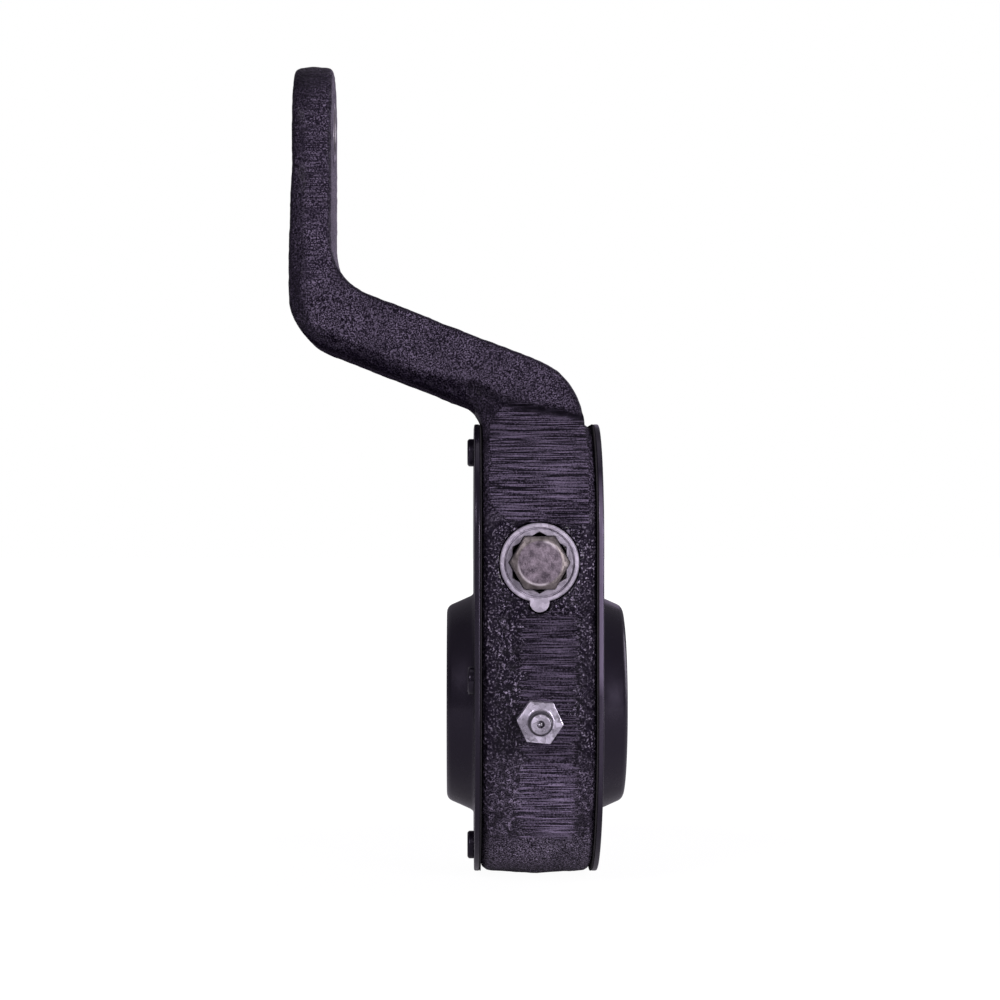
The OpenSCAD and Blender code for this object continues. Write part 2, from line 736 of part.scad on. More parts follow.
module lock_spring()
    color("#8a8d90")
    translate([0, running_fit - land_back, 0])
        along_y(worm_height)
            coil(lock_coil_radius, lock_wire, land_back - lock_bore_depth - 2 * running_fit,
                lock_turns, 20, 6);

// Places along the nipple, outwards from the face of the body
nipple_tip = body_radius + nipple_length;
inlet_radius = ball_radius - ball_lip;
seat_y = nipple_tip - ball_depth;
ball_y = seat_y - sqrt(pow(ball_radius, 2) - pow(inlet_radius, 2)) - running_fit;
check_front = ball_y - ball_radius - running_fit;
channel_end = body_radius - nipple_shank_length + overlap;

module nipple_body() {
    head = nipple_length - nipple_head_length;
    color("#d6d8d9")
    difference() {
        union() {
            translate([0, -body_radius, 0])
                along_y(nipple_height)
                    mirror([0, 0, 1])
                        rotate(nipple_turn)
                            cylinder(r = nipple_flats / 2 / cos(30), h = nipple_hex_height, $fn = 6);
            translate([0, -body_radius, 0])
                along_y(nipple_height)
                    mirror([0, 0, 1])
                        rotate_extrude()
                            polygon([[0, -nipple_shank_length],
                                [nipple_shank_radius - shank_chamfer, -nipple_shank_length],
                                [nipple_shank_radius, -nipple_shank_length + shank_chamfer],
                                [nipple_shank_radius, 0],
                                [nipple_neck_radius + nipple_bevel, nipple_hex_height],
                                [nipple_neck_radius, nipple_hex_height + nipple_bevel],
                                [nipple_neck_radius, head], [nipple_head_radius, head + nipple_bevel],
                                [nipple_head_radius, nipple_length - nipple_bevel],
                                [nipple_head_radius - nipple_bevel / 2, nipple_length],
                                [0, nipple_length]]);
        }
        pin_y(inlet_radius, -nipple_tip - overlap, -ball_y, nipple_height);
        pin_y(ball_radius + ball_fit, -seat_y, -channel_end, nipple_height);
        pin_y(inlet_radius - ball_fit, -ball_y, -channel_end + 2 * overlap, nipple_height);
    }
}

module nipple_ball()
    color("#b9bcbf")
    translate([0, -ball_y, nipple_height]) sphere(r = ball_radius, $fn = 32);

module nipple_spring()
    color("#8a8d90")
    translate([0, -check_front, 0])
        along_y(nipple_height)
            coil(inlet_radius, check_wire, check_front - channel_end - running_fit, check_turns, 12, 5);

body();
clevis_bush();
left_cover();
right_cover();
left_gasket();
right_gasket();
rivets();
left_seal();
right_seal();
worm_wheel();
worm();
worm_shaft();
front_thrust_washer();
rear_thrust_washer();
rear_bearing();
end_plug();
lock_sleeve();
lock_spring();
nipple_body();
nipple_ball();
nipple_spring();
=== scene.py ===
import math
import bpy
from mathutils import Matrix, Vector, noise


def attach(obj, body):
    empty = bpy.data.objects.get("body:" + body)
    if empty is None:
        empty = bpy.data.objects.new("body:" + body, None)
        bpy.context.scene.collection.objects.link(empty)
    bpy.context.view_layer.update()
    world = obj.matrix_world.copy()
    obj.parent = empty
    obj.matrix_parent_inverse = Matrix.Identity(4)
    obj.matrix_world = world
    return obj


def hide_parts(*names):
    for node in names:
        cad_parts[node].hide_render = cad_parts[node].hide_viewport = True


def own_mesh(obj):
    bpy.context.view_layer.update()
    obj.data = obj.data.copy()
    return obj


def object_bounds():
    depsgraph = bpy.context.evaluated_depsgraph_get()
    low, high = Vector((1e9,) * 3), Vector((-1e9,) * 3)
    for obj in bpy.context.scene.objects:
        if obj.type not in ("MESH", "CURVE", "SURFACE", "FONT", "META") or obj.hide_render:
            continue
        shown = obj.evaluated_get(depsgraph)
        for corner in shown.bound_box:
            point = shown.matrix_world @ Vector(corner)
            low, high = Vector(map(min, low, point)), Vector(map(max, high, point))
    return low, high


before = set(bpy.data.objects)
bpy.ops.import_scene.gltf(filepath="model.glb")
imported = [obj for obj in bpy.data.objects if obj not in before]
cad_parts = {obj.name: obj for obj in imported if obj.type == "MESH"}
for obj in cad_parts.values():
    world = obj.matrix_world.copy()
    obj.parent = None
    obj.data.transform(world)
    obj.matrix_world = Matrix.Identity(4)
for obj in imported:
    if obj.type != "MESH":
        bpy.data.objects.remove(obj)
cad_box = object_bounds()


# Studio: a pale floor under the part and a white surround, lit by two soft lamps at the front, one at the
# right edge, one behind and one above. The camera looks level at the adjusting end, as the photograph does.
scene = bpy.context.scene
scene.view_settings.view_transform = "Standard"
floor_size, floor_gap = 8.0, 0.0002
shadow_near, shadow_far = 0.12, 0.45
mirror_share = 0.06
pure_white = (1.0, 1.0, 1.0, 1.0)
part_middle = (-0.02, 0.0, 0.05)


def add(tree, kind, inputs=None, **settings):
    """One shader node. Its inputs are values, or sockets of other nodes to join to."""
    made = tree.nodes.new("ShaderNode" + kind)
    for key, value in settings.items():
        setattr(made, key, value)
    for key, value in (inputs or {}).items():
        if isinstance(value, bpy.types.NodeSocket):
            tree.links.new(value, made.inputs[key])
        else:
            made.inputs[key].default_value = value
    return made


def maths(tree, operation, *values, clamp=False):
    """The result of one operation on values or sockets."""
    made = add(tree, "Math", dict(enumerate(values)), operation=operation, use_clamp=clamp)
    return made.outputs[0]


def product(tree, first, *others):
    """Several shares multiplied."""
    for other in others:
        first = maths(tree, "MULTIPLY", first, other)
    return first


def ramp(tree, value, low, high, to_low=0.0, to_high=1.0):
    """A value taken from one range to another, and held at the ends."""
    made = add(tree, "MapRange", {"Value": value, "From Min": low, "From Max": high,
                                  "To Min": to_low, "To Max": to_high})
    return made.outputs[0]


def seen_directly(tree):
    """The share of white that camera, clear and mirror rays see of the surround itself."""
    path = add(tree, "LightPath").outputs
    clear = maths(tree, "MAXIMUM", path["Is Camera Ray"], path["Is Transmission Ray"])
    mirror = maths(tree, "MULTIPLY", path["Is Glossy Ray"], mirror_share)
    return maths(tree, "MAXIMUM", clear, mirror)


world = bpy.data.worlds.new("Studio")
scene.world = world
world.use_nodes = True
tree = world.node_tree
tree.nodes.clear()
room = add(tree, "Background", {"Color": (0.80, 0.70, 0.92, 1.0), "Strength": 0.12})
white = add(tree, "Background", {"Color": pure_white, "Strength": 1.0})
mixed = add(tree, "MixShader", {0: seen_directly(tree), 1: room.outputs[0], 2: white.outputs[0]})
add(tree, "OutputWorld", {"Surface": mixed.outputs[0]})

bpy.ops.object.select_all(action="DESELECT")
bpy.ops.mesh.primitive_plane_add(size=floor_size, location=(0, 0, cad_box[0][2] - floor_gap))
floor = bpy.context.object
floor.name = "floor"
bpy.ops.object.transform_apply(location=True)
paper = bpy.data.materials.new("Pale floor")
paper.use_nodes = True
tree = paper.node_tree
tree.nodes.clear()
matt = add(tree, "BsdfDiffuse", {"Color": (0.80, 0.79, 0.81, 1.0)})
glow = add(tree, "Emission", {"Color": pure_white, "Strength": 1.12})
away = add(tree, "VectorMath", {0: add(tree, "TexCoord").outputs["Object"]}, operation="LENGTH")
far = ramp(tree, away.outputs["Value"], shadow_near, shadow_far, 0.86, 1.0)
share = maths(tree, "MULTIPLY", seen_directly(tree), far)
mixed = add(tree, "MixShader", {0: share, 1: matt.outputs[0], 2: glow.outputs[0]})
add(tree, "OutputMaterial", {"Surface": mixed.outputs[0]})
floor.data.materials.append(paper)


def lamp(name, place, aim, size, power, colour=(0.97, 0.92, 1.0)):
    """A square soft lamp turned to a point."""
    light = bpy.data.lights.new(name, "AREA")
    light.size = size
    light.energy = power
    light.color = colour
    thing = bpy.data.objects.new(name, light)
    thing.visible_camera = False
    thing.location = place
    thing.rotation_euler = (Vector(aim) - Vector(place)).to_track_quat("-Z", "Y").to_euler()
    scene.collection.objects.link(thing)


lamp("front_left_softbox", (-0.60, -1.00, 0.62), part_middle, 0.34, 5.0)
lamp("front_right_softbox", (0.60, -0.98, 0.20), part_middle, 0.34, 7.0)
lamp("right_edge_softbox", (0.85, 0.35, 0.25), part_middle, 0.45, 2.0)
lamp("back_softbox", (0.15, 1.10, 0.38), (-0.06, 0.0, 0.15), 0.36, 0.18, (0.84, 0.68, 1.0))
lamp("top_softbox", (0.0, 0.10, 1.30), part_middle, 1.00, 1.2)

lens = bpy.data.cameras.new("camera")
lens.sensor_width = 36.0
lens.lens = 93.6
lens.shift_x = 0.038
camera = bpy.data.objects.new("camera", lens)
camera.location = (-0.02105, -0.754, 0.0586)
camera.rotation_euler = (math.radians(90), 0, 0)
scene.collection.objects.link(camera)
scene.camera = camera


# Forged lever body: one drop-forged steel piece, the round gear case below and the offset arm above.
# The forged skin stays rough, the front is ground in level strokes, and all of it is dipped in black enamel.
voxel = 0.00085
worm_height, eye_height, nipple_height = 0.0416, 0.1651, -0.0013
arm_root, side_plane = 0.0835, 0.0150
front_side, arm_front = -0.012, -0.010
eye_hole, sleeve_hole, nipple_hole = 0.0105, 0.0118, 0.0056
wheel_room, worm_room_top, worm_room_depth = 0.044, 0.070, 0.040
crease_line = [(-0.0185, 0.0908), (-0.0120, 0.0880), (-0.0059, 0.0854), (0.0020, 0.0839),
               (0.0085, 0.0825), (0.0125, 0.0816)]
draft_edge = [(-0.0694, 0.1800), (-0.0694, 0.1150), (-0.0677, 0.1067), (-0.0635, 0.1021), (-0.0572, 0.0990),
              (-0.0263, 0.0869), (-0.0188, 0.0835)]
sleeve_bore, slot_radius, slot_height = 0.01114, 0.00304, 0.0308
slot_half_width, slot_low, slot_top = 0.0036, 0.0262, 0.0330
slot_end_front, slot_end_back, slot_clearance = -0.0372, -0.033, 0.0007
pocket_floor, ream_reach, slot_overlap = -0.026, 0.00045, 0.0001
crease_width, crease_depth = 0.0014, 0.0012
wave_size, wave_depth = 0.011, 0.00035
pit_size, pit_depth = 0.0022, 0.00026


def clear_selection():
    """Back to object mode with nothing selected."""
    if bpy.context.object and bpy.context.object.mode != "OBJECT":
        bpy.ops.object.mode_set(mode="OBJECT")
    bpy.ops.object.select_all(action="DESELECT")


def copied(node, name):
    """A welded copy of a CAD node as a new piece at the same place, selected and active."""
    clear_selection()
    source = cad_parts[node]
    piece = bpy.data.objects.new(name, source.data.copy())
    piece.data.name = name
    piece.data.materials.clear()
    scene.collection.objects.link(piece)
    piece.select_set(True)
    bpy.context.view_layer.objects.active = piece
    bpy.ops.object.mode_set(mode="EDIT")
    bpy.ops.mesh.select_all(action="SELECT")
    bpy.ops.mesh.remove_doubles(threshold=2e-6)
    bpy.ops.object.mode_set(mode="OBJECT")
    return piece


def window(value, low, high, soft):
    """1 between two limits, falling to 0 over a soft width outside them."""
    rise = min(1.0, max(0.0, (value - low) / soft + 1.0))
    fall = min(1.0, max(0.0, (high - value) / soft + 1.0))
    return min(rise, fall)


def weights(piece, name, rule):
    """A vertex group whose weight at each point comes from a rule on its place and normal."""
    group = piece.vertex_groups.new(name=name)
    for v in piece.data.vertices:
        w = rule(v.co, v.normal)
        if w > 0.001:
            group.add([v.index], w, "REPLACE")
    return group.name


def marked(piece, name, rule):
    """A number at each point of a piece, from a rule on that point, for its finish to read."""
    field = piece.data.attributes.new(name, "FLOAT", "POINT")
    for v in piece.data.vertices:
        field.data[v.index].value = rule(v)


def dent(piece, name, texture, strength, group, direction="NORMAL", middle=1.0):
    """Presses the surface in, by a texture where there is one, and applies it."""
    push = piece.modifiers.new(name, "DISPLACE")
    push.texture = texture
    push.texture_coords = "LOCAL"
    push.direction = direction
    push.mid_level = middle
    push.strength = strength
    push.vertex_group = group
    bpy.ops.object.modifier_apply(modifier=push.name)


def lumps(name, size, depth=2):
    """A soft, cloudy texture for dents."""
    texture = bpy.data.textures.new(name, "CLOUDS")
    texture.noise_scale = size
    texture.noise_depth = depth
    texture.noise_type = "SOFT_NOISE"
    return texture


def uneven(x, z, amount, across, up, layer):
    """A small shift that changes over the front, to break up straight limits."""
    return amount * noise.noise(Vector((x * across, layer, z * up)))


def upper_ground(place):
    """Share of grinding on the upper front, from the lock sleeve up to an arched edge below the arm."""
    x, y, z = place
    if y > front_side:
        return 0.0
    arch_x, arch_top = crease_line[2]
    slope, arch_bow, corner_bow = 0.2, 130, 73
    left_edge, right_edge, lower_edge, corner_x = -0.0127, 0.0131, 0.0526, -0.0040
    soft = 0.0014
    jag = uneven(x, z, 0.0010, 150, 150, 3.1)
    left = min(0.0, x - arch_x)
    top = arch_top - slope * (x - arch_x) - arch_bow * left * left
    corner = min(0.0, x - corner_x)
    bottom = lower_edge + corner_bow * corner * corner
    return window(x + jag, left_edge, right_edge, soft) * window(z + jag, bottom, top, soft)


def lower_ground(place):
    """Share of grinding on the narrow strip down the middle of the rim."""
    x, y, z = place
    if y > front_side:
        return 0.0
    left_edge, right_edge, side_soft = -0.0025, 0.0080, 0.0045
    low_end, high_end, end_soft = -0.0335, 0.0264, 0.0030
    jag = uneven(x, z, 0.0012, 90, 140, 3.1)
    return window(x + jag, left_edge, right_edge, side_soft) * window(z, low_end, high_end, end_soft)


def outer_skin(place, normal):
    """How much forged skin there is: none in the bores, on the machined sides or on ground strips."""
    x, y, z = place
    if z > arm_root:
        return 1.0 if math.hypot(y, z - eye_height) > eye_hole else 0.0
    on_side = abs(normal.x) > 0.8 and abs(x) > side_plane
    by_wheel = z < 0 and math.hypot(y, z) < wheel_room
    by_worm = 0 <= z < worm_room_top and abs(y) < worm_room_depth
    hole_wall = abs(normal.y) < 0.85
    in_sleeve_hole = hole_wall and math.hypot(x, z - worm_height) < sleeve_hole
    in_nipple_hole = hole_wall and math.hypot(x, z - nipple_height) < nipple_hole
    if on_side or by_wheel or by_worm or in_sleeve_hole or in_nipple_hole:
        return 0.0
    return 1.0 - max(upper_ground(place), lower_ground(place))


def off_line(x, z, points):
    """Distance in the front view from a line through points."""
    near = 1.0
    for (xa, za), (xb, zb) in zip(points, points[1:]):
        run = Vector((xb - xa, zb - za))
        t = min(1.0, max(0.0, (Vector((x - xa, z - za)).dot(run)) / run.length_squared))
        near = min(near, Vector((x - xa - t * run.x, z - za - t * run.y)).length)
    return near


def crease(place, normal):
    """Near the uneven line where the arm's forged face ends above the ground strip."""
    x, y, z = place
    if y > arm_front or normal.y > -0.3:
        return 0.0
    near = off_line(x, z, crease_line) + uneven(x, z, 0.0007, 420, 420, 7.7)
    return math.exp(-(near / crease_width) ** 2)


def painted_shade_band(place):
    """Painted shade along the drafted band of the arm's left and lower edge, and in the hollow below the
    crease.
    """
    x, y, z = place
    if y > arm_front or x > 0.0:
        return 0.0
    (xa, za), (xb, zb) = crease_line[0], crease_line[2]
    drop = za + (x - xa) * (zb - za) / (xb - xa) - z
    hollow_left, hollow_right, hollow_depth = -0.0230, -0.0090, 0.0060
    band_width, band_soft = 0.0030, 0.0018
    hollow = window(drop, 0.0005, hollow_depth, 0.0015) * window(x, hollow_left, hollow_right, 0.0030)
    wave = uneven(x, z, 0.0006, 110, 110, 1.7)
    return max(hollow, window(off_line(x, z, draft_edge) + wave, 0.0, band_width, band_soft))


def in_slot(x, z):
    """Inside the key slot below the sleeve's bore, in the front view."""
    return abs(x) < slot_half_width and slot_low < z < slot_top


def slot_bottom(place, normal):
    """The end of the key slot, which the remesh rounds off."""
    x, y, z = place
    return 1.0 if in_slot(x, z) and slot_end_front < y < slot_end_back else 0.0


def bore_wall(v):
    """1 on the machined wall of the sleeve's bore and its key slot."""
    x, y, z = v.co
    near = math.hypot(x, z - worm_height) < sleeve_bore + ream_reach or in_slot(x, z)
    return 1.0 if near and y < pocket_floor and abs(v.normal.y) < 0.5 else 0.0


def reamed(piece, height, radius, clear_of=None):
    """Trues the wall and the mouth of a round hole along Y, in front of the pocket's floor."""
    for v in piece.data.vertices:
        off = math.hypot(v.co.x, v.co.z - height)
        if v.co.y > pocket_floor or abs(off - radius) > ream_reach:
            continue
        if clear_of and math.hypot(v.co.x, v.co.z - clear_of[0]) < clear_of[1]:
            continue
        v.co.x *= radius / off
        v.co.z = height + (v.co.z - height) * radius / off


forging = copied("body", "forging")
forging.data.remesh_voxel_size = voxel
forging.data.remesh_voxel_adaptivity = 0.0
bpy.ops.object.voxel_remesh()
reamed(forging, worm_height, sleeve_bore)
reamed(forging, slot_height, slot_radius, clear_of=(worm_height, sleeve_bore + slot_overlap))
slot_end = weights(forging, "slot_end", slot_bottom)
dent(forging, "slot_clearance", None, slot_clearance, slot_end, direction="Y", middle=0.0)
skin = weights(forging, "forged_skin", outer_skin)
line = weights(forging, "crease", crease)
marked(forging, "upper_ground", lambda v: upper_ground(v.co))
marked(forging, "lower_ground", lambda v: lower_ground(v.co))
marked(forging, "crease_line", lambda v: crease(v.co, v.normal))
# This field dims the painted glints: painted shade on the drafted band and below the crease, and fewer
# glints on the machined bore wall
marked(forging, "painted_shade_band", lambda v: max(painted_shade_band(v.co), bore_wall(v)))
dent(forging, "crease", None, crease_depth, line, direction="Y", middle=0.0)
dent(forging, "hammer_waves", lumps("hammer waves", wave_size), wave_depth, skin, middle=0.85)
dent(forging, "scale_pits", lumps("scale pits", pit_size, 1), pit_depth, skin, middle=0.76)
bpy.ops.object.shade_smooth()
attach(forging, "housing")
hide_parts("body")


def noise_at(tree, at, scale, detail, roughness=0.5):
    """Soft noise over a piece."""
    made = add(tree, "TexNoise", {"Vector": at, "Scale": scale, "Detail": detail, "Roughness": roughness})
    return made.outputs["Fac"]


def between(tree, share, low, high):
    """A number between two, by a share."""
    return add(tree, "Mix", {0: share, 2: low, 3: high}).outputs[0]


def blended(tree, share, low, high):
    """A colour between two, by a share."""
    return add(tree, "Mix", {0: share, 6: low, 7: high}, data_type="RGBA").outputs[2]


def axes(tree, vector):
    """The X, Y and Z of a place or a normal."""
    return add(tree, "SeparateXYZ", {0: vector}).outputs


def bumped(tree, height, strength, depth):
    """A normal raised by a height."""
    return add(tree, "Bump", {"Strength": strength, "Distance": depth, "Height": height}).outputs[0]


def group_of(name, inputs, outputs):
    """An empty shader group with named sockets, its inputs and its end node."""
    tree = bpy.data.node_groups.new(name, "ShaderNodeTree")
    for label, value in inputs.items():
        kind = "NodeSocketVector" if value is None else "NodeSocketFloat"
        socket = tree.interface.new_socket(label, in_out="INPUT", socket_type=kind)
        if value is not None:
            socket.default_value = value
    for label in outputs:
        tree.interface.new_socket(label, in_out="OUTPUT", socket_type="NodeSocketFloat")
    return tree, tree.nodes.new("NodeGroupInput").outputs, tree.nodes.new("NodeGroupOutput").inputs


def grain_group():
    """Rough scaly skin: rounded pits with finer grit between them."""
    tree, given, out = group_of("Scaly grain", {"Vector": None, "Scale": 900.0}, ["Height", "Pits"])
    at, scale = given["Vector"], given["Scale"]
    pits = add(tree, "TexVoronoi", {"Vector": at, "Scale": scale, "Smoothness": 0.6, "Randomness": 1.0},
               feature="SMOOTH_F1").outputs["Distance"]
    grit = noise_at(tree, at, maths(tree, "MULTIPLY", scale, 1.25), 0.6)
    strength = ramp(tree, noise_at(tree, at, 95.0, 2.0), 0.3, 0.7, 0.60, 1.0)
    both = maths(tree, "MULTIPLY_ADD", pits, -0.55, grit)
    tree.links.new(maths(tree, "MULTIPLY", both, strength), out["Height"])
    tree.links.new(pits, out["Pits"])
    return tree


def strokes_group():
    """Level grinding strokes: long thin ridges of uneven spacing and depth."""
    tree, given, out = group_of("Grinding strokes", {"Vector": None, "Across": 600.0}, ["Height"])
    place = axes(tree, given["Vector"])
    wander = noise_at(tree, given["Vector"], 70.0, 1.0)
    sway = maths(tree, "MULTIPLY_ADD", wander, 0.0005, place["Z"])
    up = maths(tree, "MULTIPLY", sway, given["Across"])
    along = maths(tree, "MULTIPLY", place["X"], 85.0)
    flat = add(tree, "CombineXYZ", {"X": along, "Y": up}).outputs[0]

    def ridges(scale):
        made = add(tree, "TexNoise", {"Vector": flat, "Scale": scale, "Detail": 0.0}, noise_dimensions="2D")
        return made.outputs["Fac"]

    cut = ramp(tree, ridges(0.80), 0.32, 0.39, -0.25, 0.0)
    wide = maths(tree, "MULTIPLY_ADD", ridges(0.45), 0.3, cut)
    tree.links.new(maths(tree, "ADD", ridges(1.15), wide), out["Height"])
    return tree


def zone_group():
    """1 inside a rectangle of X and Z with uneven edges, 0 outside."""
    limits = {"Low X": 0.0, "High X": 0.0, "Low Z": 0.0, "High Z": 0.0, "Soft": 0.001}
    tree, given, out = group_of("Zone", {"Vector": None, **limits}, ["Mask"])
    jag = maths(tree, "ADD", noise_at(tree, given["Vector"], 260.0, 2.0), -0.5)
    move = maths(tree, "MULTIPLY", jag, 0.004)
    place = axes(tree, given["Vector"])
    inside = []
    for axis in "XZ":
        moved = maths(tree, "ADD", place[axis], move)
        for limit, sign in (("Low ", 1.0), ("High ", -1.0)):
            off = maths(tree, "SUBTRACT", moved, given[limit + axis])
            depth = maths(tree, "MULTIPLY", off, sign)
            inside.append(maths(tree, "DIVIDE", depth, given["Soft"], clamp=True))
    tree.links.new(product(tree, *inside), out["Mask"])
    return tree


def wear_group():
    """Raised edges of a dense mesh for wear, broken up by noise, and its hollows for painted shade."""
    tree, given, out = group_of("Edge wear and hollow shade", {"Vector": None}, ["Edges", "Hollows"])
    sharp = add(tree, "NewGeometry").outputs["Pointiness"]
    spread = maths(tree, "MULTIPLY_ADD", noise_at(tree, given["Vector"], 420.0, 4.0), 0.12, sharp)
    tree.links.new(ramp(tree, spread, 0.585, 0.67), out["Edges"])
    tree.links.new(ramp(tree, sharp, 0.49, 0.40), out["Hollows"])
    return tree


GRAIN, STROKES, ZONE, WEAR = grain_group(), strokes_group(), zone_group(), wear_group()


def use(tree, group, inputs):
    """Places a shader group with its own values, and gives its results."""
    return add(tree, "Group", inputs, node_tree=group).outputs


def finish(name, **sockets):
    """A new material with one Principled shader and the constant values set on its sockets."""
    material = bpy.data.materials.new(name)
    material.use_nodes = True
    tree = material.node_tree
    shader = tree.nodes["Principled BSDF"]
    for key, value in sockets.items():
        shader.inputs[key.replace("_", " ")].default_value = value
    at = add(tree, "TexCoord").outputs["Object"]
    return material, tree, shader.inputs, at


def zone(tree, at, low_x, high_x, low_z, high_z, soft):
    """Mask of a rectangle of the front."""
    return use(tree, ZONE, {"Vector": at, "Low X": low_x, "High X": high_x, "Low Z": low_z, "High Z": high_z,
                            "Soft": soft})["Mask"]


def field_of(tree, name):
    """The number that a piece holds at each point."""
    return add(tree, "Attribute", attribute_name=name).outputs["Fac"]


def ragged(tree, share, strokes, amount):
    """The share of grinding, ended unevenly by the strokes themselves."""
    off = maths(tree, "ADD", strokes, -0.7)
    return ramp(tree, maths(tree, "MULTIPLY_ADD", off, amount, share), 0.35, 0.65)


material, tree, shader, at = finish("Black enamel on forging", IOR=1.5, Specular_IOR_Level=0.18,
                                    Coat_Roughness=0.14, Specular_Tint=(0.84, 0.72, 1.0, 1.0),
                                    Coat_Tint=(0.94, 0.88, 1.0, 1.0))
place = axes(tree, at)
facing = axes(tree, add(tree, "NewGeometry").outputs["Normal"])
strip_arm = zone(tree, at, -0.0665, -0.0580, 0.118, 0.182, 0.002)
case_skin = zone(tree, at, -0.0190, 0.0190, -0.038, 0.056, 0.004)
low_skin = zone(tree, at, -0.0240, 0.0240, -0.049, -0.010, 0.006)
on_arm = ramp(tree, place["Z"], 0.080, 0.087)
off_arm = maths(tree, "SUBTRACT", 1.0, on_arm)

# Relief: coarse grain on the case, finer grain on the arm, strokes where it is ground
coarse = use(tree, GRAIN, {"Vector": at, "Scale": 680.0})
fine = use(tree, GRAIN, {"Vector": at, "Scale": 1250.0})
strokes = use(tree, STROKES, {"Vector": at, "Across": 2900.0})["Height"]
strip_top = ragged(tree, field_of(tree, "upper_ground"), strokes, 0.5)
strip_low = ragged(tree, field_of(tree, "lower_ground"), strokes, 1.2)
ground = maths(tree, "MAXIMUM", strip_top, strip_low)
skin_height = between(tree, case_skin, fine["Height"], coarse["Height"])
arm_height = between(tree, maths(tree, "MULTIPLY", strip_arm, 0.45), skin_height, strokes)
height = between(tree, strip_low, between(tree, strip_top, arm_height, strokes), strokes)
tree.links.new(bumped(tree, height, 1.0, 0.00075), shader["Normal"])

# Painted glints: highlights painted into the colour on the tips of the grain, held back as painted shade on
# rounded edges, in the left margin and in hollows
grit = noise_at(tree, at, 2500.0, 0.6)
arm_glints = ramp(tree, grit, 0.45, 0.62)
case_glints = ramp(tree, noise_at(tree, at, 1800.0, 1.0), 0.54, 0.70)
coarser = maths(tree, "MULTIPLY", case_skin, ramp(tree, low_skin, 0.0, 1.0, 1.0, 0.25))
painted_glints = between(tree, coarser, arm_glints, case_glints)
arm_tips = ramp(tree, height, 0.08, 0.45, 0.50)
case_tips = ramp(tree, height, 0.08, 0.45, 0.15)
tips = between(tree, case_skin, arm_tips, case_tips)
scores = between(tree, strip_arm, 1.0, ramp(tree, strokes, 0.50, 0.82, 0.45, 1.25))
frontal = maths(tree, "ABSOLUTE", facing["Y"])
# Painted shade: fewer painted glints on the arm's side-turned rounded edges, in the left margin, on the
# drafted band and below the crease
rounded = product(tree, ramp(tree, frontal, 0.93, 0.80), ramp(tree, frontal, 0.30, 0.50), on_arm)
rounded_edge_shade = ramp(tree, rounded, 0.0, 1.0, 1.0, 0.35)
patchy = ramp(tree, noise_at(tree, at, 95.0, 1.5), 0.32, 0.68, 0.55)
left_margin_shade = maths(tree, "MULTIPLY", ramp(tree, place["X"], -0.0130, -0.0150), off_arm)
hollow = maths(tree, "MAXIMUM", left_margin_shade, field_of(tree, "painted_shade_band"))
shade_dimming = ramp(tree, hollow, 0.0, 1.0, 1.0, 0.42)
painted_glint_share = product(tree, painted_glints, tips, scores, rounded_edge_shade, patchy, shade_dimming)

# Colour: black paint with a purple cast and painted shade in the pits of the grain, painted glints on it,
# strokes with painted highlights on their crests, painted shade in creases and hollows, and thin lighter
# edges
clouds = noise_at(tree, at, 38.0, 4.0, 0.6)
paint = blended(tree, clouds, (0.0052, 0.0036, 0.0084, 1.0), (0.0100, 0.0070, 0.0152, 1.0))
# Painted shade: the paint darker in the pits of the grain
pit_shaded_paint = blended(tree, ramp(tree, height, 0.0, 0.35), (0.0026, 0.0018, 0.0042, 1.0), paint)
# Painted glints: light colour standing in for highlights, lighter still as painted light on the lower rim,
# which turns down away from the lamps
painted_skin_glint = blended(tree, case_skin, (0.218, 0.181, 0.260, 1.0), (0.520, 0.460, 0.580, 1.0))
painted_glint_colour = blended(tree, low_skin, painted_skin_glint, (0.520, 0.446, 0.597, 1.0))
with_painted_glints = blended(tree, painted_glint_share, pit_shaded_paint, painted_glint_colour)
# Painted highlights on the crests of the grinding strokes, lighter on the lower rim
stroke_crest_highlight = ramp(tree, maths(tree, "MULTIPLY_ADD", grit, 0.9, height), 0.90, 1.36)
strip_highlight_tone = blended(tree, strip_low, (0.190, 0.155, 0.231, 1.0), (0.142, 0.116, 0.172, 1.0))
stroke_highlight_tone = blended(tree, low_skin, strip_highlight_tone, (0.270, 0.221, 0.328, 1.0))
with_stroke_highlights = blended(tree, stroke_crest_highlight, (0.0024, 0.0017, 0.0040, 1.0), stroke_highlight_tone)
dressed = blended(tree, ground, with_painted_glints, with_stroke_highlights)
worn_and_shaded = use(tree, WEAR, {"Vector": at})
# Painted shade in the crease and in the hollows of the mesh
crease_and_hollow_shade = maths(tree, "MAXIMUM", field_of(tree, "crease_line"), worn_and_shaded["Hollows"])
with_painted_shade = blended(tree, crease_and_hollow_shade, dressed, (0.0022, 0.0016, 0.0036, 1.0))
edge_share = maths(tree, "MULTIPLY", worn_and_shaded["Edges"], 0.15)
tree.links.new(blended(tree, edge_share, with_painted_shade, (0.060, 0.050, 0.078, 1.0)), shader["Base Color"])

